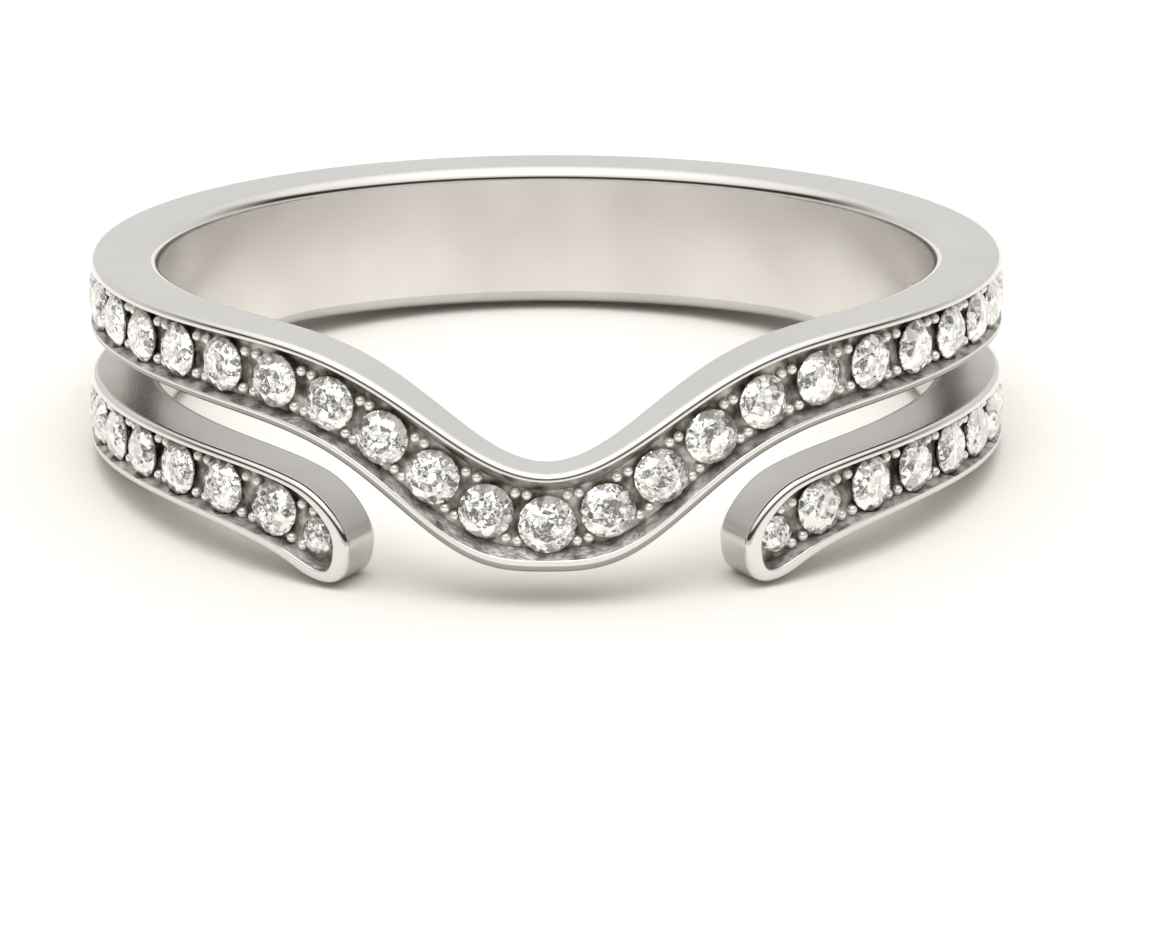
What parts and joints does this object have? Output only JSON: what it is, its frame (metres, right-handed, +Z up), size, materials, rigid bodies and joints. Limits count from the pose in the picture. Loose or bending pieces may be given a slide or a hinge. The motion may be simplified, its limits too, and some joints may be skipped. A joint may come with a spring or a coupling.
{
  "type": "ring guard enhancer",
  "caption": "White gold ring guard with an upper band that dips at the front, two lower arms below an open gap, and bead-set round stones along its front half.",
  "frame": {"origin": "on the resting surface, below the middle of the ring's box", "axes": "+X to the right and +Y from the dipped front towards the back of the shank, +Z up from the surface; the ring's own axis leans back from +Z by 7.1 degrees, as the ring rests"},
  "size_m": [0.0204, 0.0208, 0.0053],
  "materials": {
    "white_gold": "polished white gold",
    "clear_stone": "faceted, clear"
  },
  "bodies": {
    "root": {"band": "white_gold", "front_stone": "clear_stone", "upper_left_stone_1": "clear_stone", "upper_left_stone_2": "clear_stone", "upper_left_stone_3": "clear_stone", "upper_left_stone_4": "clear_stone", "upper_left_stone_5": "clear_stone", "upper_left_stone_6": "clear_stone", "upper_left_stone_7": "clear_stone", "upper_left_stone_8": "clear_stone", "upper_left_stone_9": "clear_stone", "upper_left_stone_10": "clear_stone", "upper_left_stone_11": "clear_stone", "upper_right_stone_1": "clear_stone", "upper_right_stone_2": "clear_stone", "upper_right_stone_3": "clear_stone", "upper_right_stone_4": "clear_stone", "upper_right_stone_5": "clear_stone", "upper_right_stone_6": "clear_stone", "upper_right_stone_7": "clear_stone", "upper_right_stone_8": "clear_stone", "upper_right_stone_9": "clear_stone", "upper_right_stone_10": "clear_stone", "upper_right_stone_11": "clear_stone", "arm_left_stone_1": "clear_stone", "arm_left_stone_2": "clear_stone", "arm_left_stone_3": "clear_stone", "arm_left_stone_4": "clear_stone", "arm_left_stone_5": "clear_stone", "arm_left_stone_6": "clear_stone", "arm_left_stone_7": "clear_stone", "arm_right_stone_1": "clear_stone", "arm_right_stone_2": "clear_stone", "arm_right_stone_3": "clear_stone", "arm_right_stone_4": "clear_stone", "arm_right_stone_5": "clear_stone", "arm_right_stone_6": "clear_stone", "arm_right_stone_7": "clear_stone", "arm_left_tip_stone": "clear_stone", "arm_right_tip_stone": "clear_stone"}
  },
  "joints": []
}
